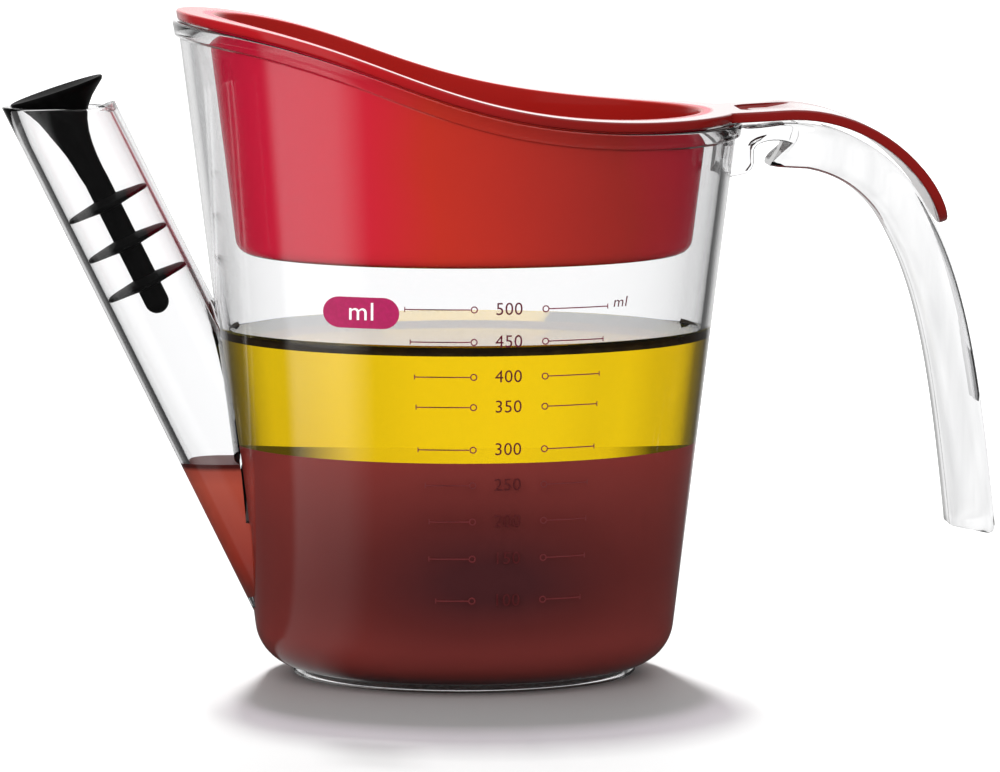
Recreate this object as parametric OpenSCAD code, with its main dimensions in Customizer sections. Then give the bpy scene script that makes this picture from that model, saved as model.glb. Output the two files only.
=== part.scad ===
// Fat separator: a clear jug with a low-set spout and an open-ended handle,
// a strainer lid that drops into the jug's mouth, and a rubber stopper in the spout.
// X runs from the spout (negative) to the handle (positive) and Z is up. The origin
// is on the jug's axis, on the plane that the foot ring stands on.

/* [Jug] */
// Outer radius that the sloping wall would have on the foot's plane
jug_base_r = 41.9; // [40:0.1:46]
// How much the radius grows for each mm of height
jug_draft = 0.125; // [0.1:0.005:0.15]
// Thickness of the clear wall
jug_wall = 2.1; // [1.6:0.1:3]
// Thickness of the jug's floor
jug_floor = 2.4; // [1.6:0.1:4]
// Outer radius of the corner between wall and floor
jug_corner_r = 9.5; // [6:0.5:14]
// Outer radius of the foot ring
foot_r = 35.3; // [30:0.1:37]
// Width of the foot ring's wall
foot_w = 2.4; // [1.5:0.1:5]
// How far the foot ring stands below the floor
foot_h = 1.5; // [0.8:0.1:4]

/* [Rim and lid line] */
// Height of the lid's top edge above the spout
rim_front_z = 136.7; // [128:0.1:145]
// How steeply the edge leaves its front end, in degrees
rim_front_fall = 6.5; // [0:0.5:12]
// How far that slope is felt along the edge
rim_front_hold = 51; // [30:1:60]
// Height of the crest of the lid's tail, over the handle
crest_z = 116.5; // [112:0.1:120]
// Distance of the crest from the jug's wall
crest_out = 9.9; // [8:0.1:14]
// How steeply the edge climbs to the crest, in degrees
crest_climb = 3.5; // [0:0.5:6]
// How far that slope is felt along the edge
crest_hold = 76; // [50:1:85]
// How far the jug's lip stands out of the wall
lip_out = 1; // [0.6:0.1:2]
// Height of the jug's lip
lip_h = 3.2; // [2:0.1:5]

/* [Strainer lid] */
// Thickness of the lid's flange and tail
lid_t = 2.1; // [1.6:0.1:3]
// Gap between the flange and the rim that it sits on
lid_seat = 0.2; // [0.1:0.05:0.4]
// Thickness of the basket's wall and floor
basket_wall = 1.8; // [1.4:0.1:2.4]
// Gap between the basket and the inside of the jug's wall
basket_gap = 4; // [2:0.5:7]
// Height of the underside of the basket's floor
basket_z = 86.9; // [80:0.5:92]
// Outer radius of the corner under the basket
basket_corner_r = 3; // [2:0.5:6]
// Diameter of a strainer hole
hole_d = 3; // [2:0.1:4]
// Distance between strainer holes
hole_pitch = 7.5; // [6:0.5:10]
// Plain margin round the field of holes
hole_margin = 7; // [5:0.5:12]

/* [Lid tail] */
// Radius of the bend that the tail makes over the handle
tail_r = 35.5; // [32:0.5:40]
// Angle that the bend goes through, from its crest
tail_sweep = 71; // [50:1:74]
// Half of the tail's width where it leaves the flange
tail_root_w = 17; // [14:0.5:22]
// Radius of the tail's rounded end
tail_tip_r = 13; // [10:0.5:14]
// Length of the dished thumb rest on the tail
thumb_l = 14; // [10:0.5:18]
// Half of the thumb rest's width
thumb_w = 10; // [8:0.5:12]
// Depth of the thumb rest at its deep end
thumb_depth = 1.2; // [0.6:0.1:1.4]

/* [Handle] */
// Width of the handle
handle_w = 16; // [12:0.5:20]
// Gap between the tail's underside and the handle
handle_gap = 1.15; // [0.6:0.05:2]
// Thickness of the grip, from its outer to its inner face
grip_t = 9.3; // [7:0.1:11]
// Distance of the handle's outermost point from the jug's axis
handle_reach = 109.5; // [104:0.5:116]
// Height of the handle's outer corner at its lower end
handle_end_z = 31; // [24:0.5:40]
// How far the lower end's outer edge still leans out, in degrees
handle_end_lean = 6; // [0:1:9]
// Thickness of the strap that joins the grip to the jug
strap_t = 3.6; // [3:0.1:5]
// How far the strap falls from the crest to the wall
strap_fall = 1.1; // [0:0.1:2]
// Thickness of the pad on the jug's wall
pad_t = 3; // [2:0.1:5]
// Height of the pad on the jug's wall
pad_h = 11; // [8:0.5:16]
// Depth of the channel along the outer face
channel_d = 2; // [1:0.1:3]
// Width of that channel
channel_w = 8; // [5:0.5:10]
// Height of the channel's lower tip
channel_end_z = 45; // [38:0.5:60]
// Length over which the channel's floor comes up to that tip
channel_run_out = 7; // [3:0.5:12]

/* [Spout] */
// Distance of the mouth's centre from the jug's axis
spout_reach = 82.9; // [78:0.1:90]
// Height of the mouth
spout_mouth_z = 116.9; // [105:0.5:125]
// Lean of the spout away from the jug, in degrees
spout_tilt = 26.2; // [22:0.2:30]
// Diameter of the spout's bore
bore_d = 17.7; // [15:0.1:20]
// Thickness of the spout's wall
spout_wall = 1.8; // [1.4:0.1:2.6]
// Height of the top of the port between the jug and the spout
port_top_z = 32; // [28:0.5:38]

/* [Stopper] */
// Clearance between a fin's edge and the bore
fin_clear = 0.05; // [0.02:0.01:0.1]
// Distance of the first fin from the mouth, along the spout
fin_start = 22.1; // [20:0.1:26]
// Distance between fins
fin_pitch = 9; // [7:0.5:11]
// Thickness of a fin at the stem
fin_root_t = 2.6; // [1.5:0.1:3.5]
// Thickness of a fin at its edge
fin_edge_t = 0.8; // [0.4:0.1:1.4]
// Diameter of the stopper's stem
stem_d = 5; // [4:0.1:6]
// How far the stem goes past the last fin
stem_tail = 7; // [4:0.5:10]
// Radius of the trumpet head
head_r = 9.9; // [8:0.1:10]
// Height of the trumpet head
head_h = 15.4; // [14:0.1:18]
// How much more upright than the stem the head stands, in degrees
head_lean = 6; // [0:0.5:9]
// Depth of the dish in the head's top
head_dish = 1.2; // [0.5:0.1:2]

/* [Hidden] */
$fn = 96;
CURVE_STEPS = 24;
ARC_STEPS = 8;
CLEAR_CUT = 1;
FAR = 300;
fin_count = 3;

// How far the cones that the walls are cut from go on above the rim
cone_rise = 10;
// How far the spout and its bore are drawn past the places where they meet the jug's wall
spout_sink = 2;
port_sink = 1;
// Angle over which the handle follows the tail's bend before its leg starts
shoulder_end = 30;
// How long the leg keeps its first and its last direction, as shares of its drop
leg_hold = 0.27;
leg_end_hold = 0.5;
// The notch under the strap: the height of its arch, and how far it reaches past the crest
notch_rise = 2;
notch_over = 1.5;
// The hook that the grip's thick end makes under the notch, from its inner corner
hook_reach = [-4, -0.6];
// The slanted foot of the handle, from its outer and from its inner corner
foot_outer = [-2, -1.7];
foot_inner = [0.3, 1.2];
// Slope of the pad's lower edge and how far the pad's end is sunk into the wall
pad_slope = 1.5;
pad_sink = 1;
// The thumb rest's shares: the length behind the tail's crest, and its depth half way
thumb_back = 0.72;
thumb_half_depth = 0.7;
thumb_root_drop = 0.3;
// Rounded rim of the stopper's head: its width, and its height over the flare
head_rim_w = 0.6;
head_rim_h = 0.3;
// Distance from the mouth to the place where the head's lean starts
head_pivot = 12.3;

function jug_r(z) = jug_base_r + jug_draft * z;
wall_across = jug_wall * sqrt(1 + pow(jug_draft, 2));
wall_lean = atan(jug_draft);

// The lid line: the side view of the lid's top face. A long curve falls from the front
// of the rim and climbs to the crest, and an arc carries the tail over the handle.
front_p = [-jug_r(rim_front_z), rim_front_z];
tail_c = [jug_r(crest_z) + crest_out, crest_z - tail_r];
crest_p = tail_c + tail_r * [cos(90 + crest_climb), sin(90 + crest_climb)];
front_ctrl = front_p + rim_front_hold * [cos(rim_front_fall), -sin(rim_front_fall)];
crest_ctrl = crest_p - crest_hold * [cos(crest_climb), sin(crest_climb)];

function bezier(a, b, c, d, t) =
    pow(1 - t, 3) * a + 3 * pow(1 - t, 2) * t * b + 3 * (1 - t) * t * t * c + pow(t, 3) * d;
function bezier_way(a, b, c, d, t) =
    pow(1 - t, 2) * (b - a) + 2 * (1 - t) * t * (c - b) + t * t * (d - c);
function right_of(v) = [v.y, -v.x] / norm(v);
function polar(c, r, a) = c + r * [cos(a), sin(a)];

// Points of the lid line at a depth below its top face, from the front to the tail's tip
function lid_line(depth) = concat(
    [front_p + (lid_t + lip_out) * [-cos(rim_front_fall), sin(rim_front_fall)]
        + depth * right_of(front_ctrl - front_p)],
    [for (i = [0 : CURVE_STEPS - 1])
        let (t = i / CURVE_STEPS)
        bezier(front_p, front_ctrl, crest_ctrl, crest_p, t)
            + depth * right_of(bezier_way(front_p, front_ctrl, crest_ctrl, crest_p, t))],
    [for (i = [0 : CURVE_STEPS])
        polar(tail_c, tail_r - depth, 90 + crest_climb - (tail_sweep + crest_climb) * i / CURVE_STEPS)]
);
function reversed(list) = [for (i = [len(list) - 1 : -1 : 0]) list[i]];

// Extrudes a side view, drawn in X and Z, evenly to both sides of the middle plane
module side_view(width) {
    rotate([90, 0, 0])
        linear_extrude(width, center = true)
            children();
}

// Space from one depth to another under the lid line
module lid_band(top, bottom) {
    side_view(FAR)
        polygon(concat(lid_line(top), reversed(lid_line(bottom))));
}

// Space below the lid line at a depth, out to the crest and down past the foot
module below_lid_line(depth) {
    line = [for (p = lid_line(depth)) if (p.x < tail_c.x) p];
    side_view(FAR)
        polygon(concat(line, [[tail_c.x, -CLEAR_CUT], [line[0].x, -CLEAR_CUT]]));
}

// Half section of a round-cornered cup: the wall slopes by the jug's draft
module cup_section(base_r, bottom_z, corner_r, top_z) {
    corner_z = bottom_z + corner_r;
    corner_x = base_r + jug_draft * corner_z - corner_r / cos(wall_lean);
    polygon(concat(
        [[0, bottom_z]],
        [for (i = [0 : ARC_STEPS])
            polar([corner_x, corner_z], corner_r, -90 + (90 - wall_lean) * i / ARC_STEPS)],
        [[base_r + jug_draft * top_z, top_z], [0, top_z]]
    ));
}

// ---- Jug ----

rim_depth = lid_t + lid_seat;
cone_top_z = rim_front_z + cone_rise;

module jug_outside(extra = 0) {
    rotate_extrude()
        cup_section(jug_base_r + extra, foot_h, jug_corner_r, cone_top_z);
}

module jug_inside() {
    rotate_extrude()
        cup_section(jug_base_r - wall_across, foot_h + jug_floor, jug_corner_r - jug_wall,
            cone_top_z + CLEAR_CUT);
}

// The jug as if it were full: its wall, its lip and its foot ring
module jug_skin() {
    intersection() {
        jug_outside();
        below_lid_line(rim_depth);
    }
    intersection() {
        jug_outside(lip_out);
        lid_band(rim_depth, rim_depth + lip_h);
    }
    cylinder(h = foot_h + jug_floor / 2, r = foot_r);
}

module jug_body() {
    color([0.9, 0.93, 0.95, 0.45])
    difference() {
        jug_skin();
        jug_inside();
        translate([0, 0, -CLEAR_CUT])
            cylinder(h = foot_h + CLEAR_CUT, r = foot_r - foot_w);
        spout_port();
    }
}

// ---- Spout ----

bore_r = bore_d / 2;
spout_r = bore_r + spout_wall;
spout_mouth = [-spout_reach, 0, spout_mouth_z];

// Distance down the spout at which its lower side, at a radius, passes through a wall
function spout_meets(radius, wall_base_r) =
    (spout_reach - wall_base_r + radius * cos(spout_tilt)
        - jug_draft * (spout_mouth_z - radius * sin(spout_tilt)))
    / (sin(spout_tilt) - jug_draft * cos(spout_tilt));

spout_l = spout_meets(spout_r, jug_base_r) + spout_sink;
port_l = spout_meets(bore_r, jug_base_r - wall_across) + port_sink;

// Turns a shape drawn down the Z axis from zero so that it lies along the spout
module along_spout() {
    translate(spout_mouth)
        rotate([0, -spout_tilt, 0])
            children();
}

// The hole through the jug's wall, low inside the spout
module spout_port() {
    intersection() {
        along_spout()
            translate([0, 0, -port_l])
                cylinder(h = port_l, r = bore_r);
        translate([-FAR, -FAR / 2, 0])
            cube([FAR, FAR, port_top_z]);
    }
}

module spout_tube() {
    color([0.9, 0.93, 0.95, 0.45])
    difference() {
        along_spout()
            translate([0, 0, -spout_l])
                cylinder(h = 2 * spout_l, r = spout_r);
        along_spout()
            translate([0, 0, -2 * spout_l])
                cylinder(h = 4 * spout_l, r = bore_r);
        jug_skin();
        translate([-FAR, -FAR / 2, spout_mouth_z])
            cube([2 * FAR, FAR, FAR]);
    }
}

// ---- Handle ----

shoulder_r = tail_r - lid_t - handle_gap;
leg_p = polar(tail_c, shoulder_r, shoulder_end);
leg_end = [handle_reach, handle_end_z];
leg_drop = leg_p.y - leg_end.y;
leg_ctrl = leg_p + leg_hold * leg_drop * [sin(shoulder_end), -cos(shoulder_end)];
leg_end_ctrl = leg_end + leg_end_hold * leg_drop * [-sin(handle_end_lean), cos(handle_end_lean)];

// Points of the handle's outer face at a depth, from over the strap to the lower end
function handle_line(depth) = concat(
    [for (i = [0 : CURVE_STEPS - 1])
        polar(tail_c, shoulder_r - depth, 90 - (90 - shoulder_end) * i / CURVE_STEPS)],
    [for (i = [0 : CURVE_STEPS])
        let (t = i / CURVE_STEPS)
        bezier(leg_p, leg_ctrl, leg_end_ctrl, leg_end, t)
            + depth * right_of(bezier_way(leg_p, leg_ctrl, leg_end_ctrl, leg_end, t))]
);

module handle_outline() {
    outer = handle_line(0);
    inner = handle_line(grip_t);
    crest = outer[0];
    wall_x = jug_r(crest.y) + lip_out;
    root_x = jug_base_r;
    strap_z = crest.y - strap_t;
    pad_x = wall_x + pad_t - lip_out;
    notch_r = (crest.x + notch_over - pad_x) / 2;
    notch_c = [pad_x + notch_r, strap_z - notch_rise];
    foot_b = inner[len(inner) - 1] + foot_inner;
    polygon(concat(
        [[root_x, crest.y - strap_fall]],
        [[wall_x, crest.y - strap_fall]],
        outer,
        [leg_end + foot_outer, foot_b],
        reversed([for (p = inner) if (p.y > foot_b.y && p.x > crest.x + 2) p]),
        [inner[0] + hook_reach],
        [for (i = [0 : ARC_STEPS])
            let (a = 180 * i / ARC_STEPS)
            notch_c + [notch_r * cos(a), notch_rise * sin(a)]],
        [[pad_x, crest.y - pad_h + pad_slope], [wall_x - lip_out - pad_sink, crest.y - pad_h],
            [root_x, crest.y - pad_h]]
    ));
}

module handle() {
    color([0.9, 0.93, 0.95, 0.45])
    difference() {
        side_view(handle_w)
            handle_outline();
        jug_skin();
        side_view(channel_w)
            channel_outline();
    }
}

// Side view of the channel: it runs down the outer face and closes in a point
module channel_outline() {
    start_x = tail_c.x + channel_d;
    outer = [for (p = handle_line(-CLEAR_CUT)) if (p.x > start_x && p.y > channel_end_z) p];
    deep = [for (p = handle_line(channel_d))
        if (p.x > start_x + channel_d && p.y > channel_end_z + channel_run_out) p];
    polygon(concat(outer, reversed(deep)));
}

// ---- Strainer lid ----

basket_base_r = jug_base_r - wall_across - basket_gap;
basket_in_base_r = basket_base_r - basket_wall;
basket_floor_r = basket_base_r + jug_draft * basket_z;
hole_field_r = basket_floor_r - hole_margin;
hole_rows = ceil(hole_field_r / (hole_pitch * sin(60)));

module basket_outside() {
    rotate_extrude()
        cup_section(basket_base_r, basket_z, basket_corner_r, cone_top_z);
}

module basket_inside() {
    rotate_extrude()
        cup_section(basket_in_base_r, basket_z + basket_wall, basket_corner_r - basket_wall / 2,
            cone_top_z + CLEAR_CUT);
}

// Rows of holes, each row shifted by half a step from the last
module strainer_holes() {
    for (row = [-hole_rows : hole_rows])
        for (col = [-hole_rows : hole_rows])
            let (p = hole_pitch * [col + (row % 2 == 0 ? 0 : 0.5), row * sin(60)])
                if (norm(p) < hole_field_r)
                    translate(p)
                        circle(d = hole_d);
}

// Plan of the tail: it narrows slowly, and its end is round when laid flat
module tail_plan() {
    round_start = tail_sweep - tail_tip_r / tail_r * 180 / PI;
    sides = concat(
        [[0, tail_root_w], [tail_c.x, tail_root_w]],
        [for (i = [1 : ARC_STEPS])
            let (a = round_start * i / ARC_STEPS)
            [tail_c.x + tail_r * sin(a), tail_root_w + (tail_tip_r - tail_root_w) * i / ARC_STEPS]],
        [for (i = [1 : 2 * ARC_STEPS])
            let (turn = 90 * i / (2 * ARC_STEPS))
            let (a = round_start + (tail_sweep - round_start) * sin(turn))
            [tail_c.x + tail_r * sin(a), tail_tip_r * cos(turn)]]
    );
    polygon(concat(sides, [for (p = reversed(sides)) [p.x, -p.y]]));
}

// The dish is deepest beside the basket and runs out along the tail
module thumb_rest() {
    start_x = tail_c.x - thumb_l * thumb_back;
    side_view(2 * thumb_w)
        polygon([
            [start_x, crest_z + CLEAR_CUT],
            [start_x, crest_z - thumb_depth - thumb_root_drop],
            [start_x + thumb_l / 2, crest_z - thumb_depth * thumb_half_depth],
            [start_x + thumb_l, crest_z + CLEAR_CUT / 4]
        ]);
}

module strainer_lid() {
    color([0.72, 0.12, 0.12])
    difference() {
        union() {
            intersection() {
                jug_outside();
                lid_band(0, lid_t);
            }
            intersection() {
                linear_extrude(cone_top_z)
                    tail_plan();
                lid_band(0, lid_t);
            }
            intersection() {
                basket_outside();
                below_lid_line(lid_t / 2);
            }
        }
        basket_inside();
        translate([0, 0, basket_z - CLEAR_CUT])
            linear_extrude(basket_wall + 2 * CLEAR_CUT)
                strainer_holes();
        thumb_rest();
    }
}

// ---- Stopper ----

fin_r = bore_r - fin_clear;
stem_r = stem_d / 2;
last_fin = fin_start + (fin_count - 1) * fin_pitch;
stem_l = last_fin + stem_tail;

module stopper_head() {
    rotate_extrude()
        polygon(concat(
            [[0, -head_h / 4], [stem_r, -head_h / 4]],
            [for (i = [0 : 2 * ARC_STEPS])
                let (a = 90 * i / (2 * ARC_STEPS))
                [stem_r + (head_r - stem_r) * (1 - cos(a)), head_h * sin(a)]],
            [for (i = [1 : ARC_STEPS])
                let (k = i / ARC_STEPS)
                [(head_r - head_rim_w) * (1 - k), head_h + head_rim_h - head_dish * (1 - pow(1 - k, 2))]]
        ));
}

module stopper_fin() {
    rotate_extrude()
        polygon([
            [0, -fin_root_t / 2], [stem_r, -fin_root_t / 2], [fin_r, -fin_edge_t / 2],
            [fin_r, fin_edge_t / 2], [stem_r, fin_root_t / 2], [0, fin_root_t / 2]
        ]);
}

module stopper() {
    color([0.08, 0.08, 0.08])
    along_spout() {
        translate([0, 0, -head_pivot])
            rotate([0, head_lean, 0])
                stopper_head();
        translate([0, 0, -stem_l + stem_r])
            cylinder(h = stem_l - stem_r - head_pivot + CLEAR_CUT, r = stem_r);
        translate([0, 0, -stem_l + stem_r])
            sphere(r = stem_r);
        for (i = [0 : fin_count - 1])
            translate([0, 0, -fin_start - i * fin_pitch])
                stopper_fin();
    }
}

jug_body();
spout_tube();
handle();
strainer_lid();
stopper();
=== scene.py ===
"""Fat separator: a clear jug, a red strainer lid and a black rubber stopper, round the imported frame."""
import bisect
import math

import bmesh
import bpy
from mathutils import Matrix, Vector


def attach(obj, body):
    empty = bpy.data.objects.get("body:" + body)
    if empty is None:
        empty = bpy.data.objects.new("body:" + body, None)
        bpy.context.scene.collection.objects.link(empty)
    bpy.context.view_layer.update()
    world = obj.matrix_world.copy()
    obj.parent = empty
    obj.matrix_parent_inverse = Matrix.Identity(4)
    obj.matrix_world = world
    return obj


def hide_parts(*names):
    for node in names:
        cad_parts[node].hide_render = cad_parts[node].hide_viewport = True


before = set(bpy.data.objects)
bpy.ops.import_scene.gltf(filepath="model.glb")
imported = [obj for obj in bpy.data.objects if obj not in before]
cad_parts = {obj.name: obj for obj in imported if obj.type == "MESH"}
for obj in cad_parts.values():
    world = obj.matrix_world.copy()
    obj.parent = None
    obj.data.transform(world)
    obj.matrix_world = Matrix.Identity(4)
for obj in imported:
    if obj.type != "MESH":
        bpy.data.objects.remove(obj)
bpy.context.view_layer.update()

MM = 0.001

# ---- The part's driving dimensions, in millimetres ----

JUG_BASE_R = 41.9
JUG_DRAFT = 0.125
JUG_WALL = 2.1
JUG_FLOOR = 2.4
JUG_CORNER_R = 9.5
FOOT_R = 35.3
FOOT_W = 2.4
FOOT_H = 1.5
RIM_FRONT_Z = 136.7
RIM_FRONT_FALL = 6.5
RIM_FRONT_HOLD = 51
CREST_Z = 116.5
CREST_OUT = 9.9
CREST_CLIMB = 3.5
CREST_HOLD = 76
LIP_OUT = 1.0
LIP_H = 3.2
LID_T = 2.1
LID_SEAT = 0.2
BASKET_WALL = 1.8
BASKET_GAP = 4.0
BASKET_Z = 86.9
BASKET_CORNER_R = 3.0
HOLE_D = 3.0
HOLE_PITCH = 7.5
HOLE_MARGIN = 7.0
TAIL_R = 35.5
TAIL_SWEEP = 71
TAIL_ROOT_W = 17.0
TAIL_TIP_R = 13.0
HANDLE_W = 16.0
HANDLE_GAP = 1.15
GRIP_T = 9.3
HANDLE_REACH = 109.5
HANDLE_END_Z = 31.0
HANDLE_END_LEAN = 6
SHOULDER_END = 30
STRAP_T = 3.6
STRAP_FALL = 1.1
PAD_T = 3.0
PAD_H = 11.0
CHANNEL_D = 2.0
CHANNEL_W = 8.0
CHANNEL_END_Z = 45.0
CHANNEL_RUN_OUT = 7.0
SPOUT_REACH = 82.9
SPOUT_MOUTH_Z = 116.9
SPOUT_TILT = math.radians(26.2)
BORE_R = 8.85
SPOUT_WALL = 1.8
PORT_TOP_Z = 32.0


def jug_r(z):
    return JUG_BASE_R + JUG_DRAFT * z


WALL_STRETCH = math.hypot(1, JUG_DRAFT)
WALL_ACROSS = JUG_WALL * WALL_STRETCH
WALL_LEAN = math.degrees(math.atan(JUG_DRAFT))


# ---- The lid line: the side view of the lid's top face ----

def polar(centre, r, degrees):
    a = math.radians(degrees)
    return Vector((centre[0] + r * math.cos(a), centre[1] + r * math.sin(a)))


def bezier(a, b, c, d, t):
    s = 1 - t
    return a * s ** 3 + b * 3 * s * s * t + c * 3 * s * t * t + d * t ** 3


def bezier_way(a, b, c, d, t):
    s = 1 - t
    return ((b - a) * s * s + (c - b) * 2 * s * t + (d - c) * t * t).normalized()


def right_of(way):
    return Vector((way.y, -way.x))


FRONT = Vector((-jug_r(RIM_FRONT_Z), RIM_FRONT_Z))
TAIL_C = Vector((jug_r(CREST_Z) + CREST_OUT, CREST_Z - TAIL_R))
CREST = polar(TAIL_C, TAIL_R, 90 + CREST_CLIMB)
FALL_WAY = polar((0, 0), 1, -RIM_FRONT_FALL)
FRONT_CTRL = FRONT + RIM_FRONT_HOLD * FALL_WAY
CREST_CTRL = CREST - CREST_HOLD * polar((0, 0), 1, CREST_CLIMB)
SWEEP = (FRONT, FRONT_CTRL, CREST_CTRL, CREST)
LINE_STEPS = 1500
LINE = [(bezier(*SWEEP, i / LINE_STEPS), right_of(bezier_way(*SWEEP, i / LINE_STEPS)))
        for i in range(LINE_STEPS + 1)]
LINE_X = [point.x for point, _ in LINE]


def lid_point(u):
    """Point of the lid's top line, and the direction square to it, into the lid.

    u is the point's x up to the crest, and from there on the length along the tail."""
    if u <= FRONT.x:
        return FRONT + FALL_WAY * (u - FRONT.x), right_of(FALL_WAY)
    if u >= CREST.x:
        a = 90 + CREST_CLIMB - math.degrees((u - CREST.x) / TAIL_R)
        return polar(TAIL_C, TAIL_R, a), -polar((0, 0), 1, a)
    i = min(bisect.bisect(LINE_X, u), LINE_STEPS)
    k = (u - LINE_X[i - 1]) / (LINE_X[i] - LINE_X[i - 1])
    return LINE[i - 1][0].lerp(LINE[i][0], k), LINE[i - 1][1].lerp(LINE[i][1], k)


def lid_under(x, depth):
    """Which u has its point at x, at a depth under the lid's top line."""
    u = x
    for _ in range(4):
        point, inward = lid_point(u)
        u += x - (point.x + depth * inward.x)
    return u


def on_lid(u, y, depth):
    point, inward = lid_point(u)
    return Vector((point.x + depth * inward.x, y, point.y + depth * inward.y))


def height_under_lid(x, depth):
    """Height at x of the line that runs at a depth under the lid's top line."""
    return on_lid(lid_under(x, depth), 0, depth).z


# ---- Hand tools ----

def start_clear():
    """Nothing selected, in object mode."""
    if bpy.context.object and bpy.context.object.mode != "OBJECT":
        bpy.ops.object.mode_set(mode="OBJECT")
    bpy.ops.object.select_all(action="DESELECT")


def take(obj):
    """Makes obj the only selected object."""
    start_clear()
    obj.select_set(True)
    bpy.context.view_layer.objects.active = obj


def edit(obj):
    take(obj)
    bpy.ops.object.mode_set(mode="EDIT")
    bpy.ops.mesh.select_all(action="SELECT")


def done():
    bpy.ops.object.mode_set(mode="OBJECT")
    return bpy.context.object


def close_up(merge=0.0):
    """Merges points closer than a distance, turns the faces outwards and leaves edit mode."""
    bpy.ops.mesh.select_all(action="SELECT")
    if merge:
        bpy.ops.mesh.remove_doubles(threshold=MM * merge)
    bpy.ops.mesh.normals_make_consistent(inside=False)
    return done()


def draw_line(name, points, close=False):
    """Draws a line through points (x, y, z in millimetres), extruding a vertex from each to the next."""
    start_clear()
    spots = [Vector(p) * MM for p in points]
    bpy.ops.mesh.primitive_plane_add(size=MM, location=spots[0])
    bpy.context.object.name = name
    bpy.ops.object.mode_set(mode="EDIT")
    bpy.ops.mesh.select_mode(type="VERT")
    bpy.ops.mesh.select_all(action="SELECT")
    bpy.ops.mesh.merge(type="CENTER")
    for here, there in zip(spots, spots[1:]):
        bpy.ops.mesh.extrude_region_move(TRANSFORM_OT_translate={"value": there - here})
    if close:
        bpy.ops.mesh.extrude_region_move(TRANSFORM_OT_translate={"value": spots[0] - spots[-1]})
        bpy.ops.mesh.select_all(action="SELECT")
        bpy.ops.mesh.remove_doubles(threshold=MM * 0.001)
    obj = done()
    bpy.ops.object.transform_apply(location=True)
    return obj


def turned(name, section, sides, close=False):
    """A half section of (radius, height) points, spun round the Z axis."""
    edit(draw_line(name, [(r, 0, z) for r, z in section], close))
    bpy.ops.mesh.spin(steps=sides, angle=math.tau, center=(0, 0, 0), axis=(0, 0, 1))
    return close_up(0.002)


def thicken(obj, width):
    """Fills a closed line and extrudes it along Y."""
    edit(obj)
    bpy.ops.mesh.edge_face_add()
    bpy.ops.mesh.extrude_region_move(TRANSFORM_OT_translate={"value": (0, width * MM, 0)})
    return close_up()


def skin(name, rings):
    """Draws the first ring and extrudes it from ring to ring, then fills both ends.

    The rings have as many points each (x, y, z in millimetres), in the same order."""
    obj = draw_line(name, rings[0], close=True)
    columns = obj.data.attributes.new("column", "INT", "POINT")
    first = [Vector(point) * MM for point in rings[0]]
    for v in obj.data.vertices:
        columns.data[v.index].value = min(range(len(first)), key=lambda i: (first[i] - v.co).length_squared)
    edit(obj)
    bpy.ops.mesh.select_mode(type="EDGE")
    for ring in rings[1:]:
        bpy.ops.mesh.extrude_region_move()
        work = bmesh.from_edit_mesh(obj.data)
        column = work.verts.layers.int["column"]
        for v in work.verts:
            if v.select:
                v.co = Vector(ring[v[column]]) * MM
        bmesh.update_edit_mesh(obj.data)
    bpy.ops.mesh.edge_face_add()
    bpy.ops.mesh.select_all(action="DESELECT")
    bpy.ops.mesh.select_non_manifold()
    bpy.ops.mesh.edge_face_add()
    bpy.ops.mesh.select_mode(type="VERT")
    close_up()
    obj.data.attributes.remove(obj.data.attributes["column"])
    return obj


def combine(obj, other, operation):
    """Joins another solid to obj or cuts it away, and deletes it."""
    take(obj)
    boolean = obj.modifiers.new("Boolean", "BOOLEAN")
    boolean.operation = operation
    boolean.object = other
    boolean.solver = "MANIFOLD"
    bpy.ops.object.modifier_apply(modifier=boolean.name)
    bpy.data.objects.remove(other)
    return obj


def cut_level(obj, height, **side):
    """Cuts a solid at a height, clears the side that is named and closes the cut."""
    edit(obj)
    bpy.ops.mesh.bisect(plane_co=(0, 0, height * MM), plane_no=(0, 0, 1), use_fill=True, **side)
    done()


def smooth(obj, degrees):
    take(obj)
    bpy.ops.object.shade_smooth_by_angle(angle=math.radians(degrees))


def extrude_outline(name, outline, width, round_r=0.0):
    """A side view, drawn in X and Z, extruded evenly to both sides, its long edges rounded."""
    obj = thicken(draw_line(name, [(x, -width / 2, z) for x, z in outline], close=True), width)
    if round_r:
        work = bmesh.new()
        work.from_mesh(obj.data)
        for edge in work.edges:
            ys = {round(v.co.y / MM, 2) for v in edge.verts}
            edge.select_set(ys == {round(-width / 2, 2)} or ys == {round(width / 2, 2)})
        work.to_mesh(obj.data)
        work.free()
        take(obj)
        bpy.ops.object.mode_set(mode="EDIT")
        bpy.ops.mesh.select_mode(type="EDGE")
        bpy.ops.mesh.bevel(offset=round_r * MM, segments=4, affect="EDGES")
        done()
    return obj


# ---- The clear jug: body, spout and handle as the one moulding that they are ----

def arc(centre, r, first, last, steps):
    return [polar(centre, r, first + (last - first) * i / steps) for i in range(steps + 1)]


def between(a, b, steps):
    """Points from a towards b, without b."""
    return [Vector(a).lerp(Vector(b), i / steps) for i in range(steps)]


RIM_DEPTH = LID_T + LID_SEAT
RIM_LOW = height_under_lid(jug_r(CREST_Z), RIM_DEPTH)
LIFT_FROM = 24.0
EDGE_ROUND = 0.45
FOOT_ROUND = 0.5
JUG_SIDES = 192
SPOUT_SIDES = 96
SPOUT_L = 118
SPOUT_SUNK = 1.2
MOUTH_ROUND = 0.5
MOUTH_H = 4


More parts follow.
